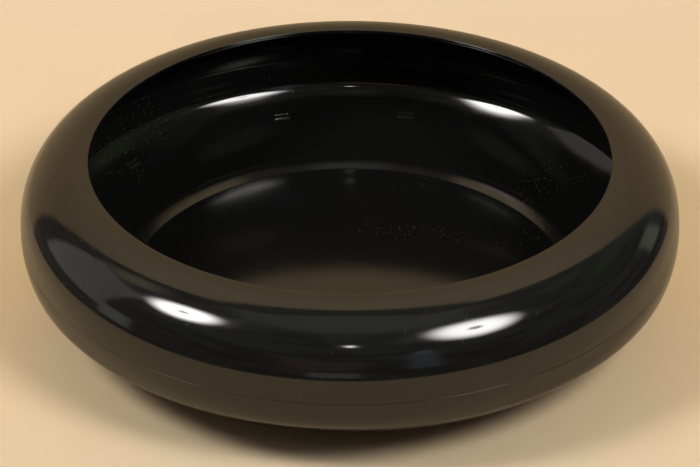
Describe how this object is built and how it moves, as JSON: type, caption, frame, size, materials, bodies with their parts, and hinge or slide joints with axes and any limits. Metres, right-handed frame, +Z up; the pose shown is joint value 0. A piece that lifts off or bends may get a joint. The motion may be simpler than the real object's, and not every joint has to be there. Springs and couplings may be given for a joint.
{
  "type": "go stone bowl",
  "caption": "Wide low open bowl of black gloss plastic with an inward-rolled rim, moulded as two half shells joined at the widest diameter.",
  "frame": {"origin": "centre of the foot, on the plane that the bowl stands on", "axes": "+Z up along the bowl's axis of revolution, +X to the right as seen from the front, +Y away from the front"},
  "size_m": [0.28, 0.28, 0.0683],
  "materials": {
    "shell_plastic": "black polished moulded plastic, fine handling scratches",
    "cement": "dried solvent cement, black, in the seam"
  },
  "bodies": {
    "root": {"lower_shell": "shell_plastic", "upper_shell": "shell_plastic", "joint_cement": "cement"}
  },
  "joints": []
}
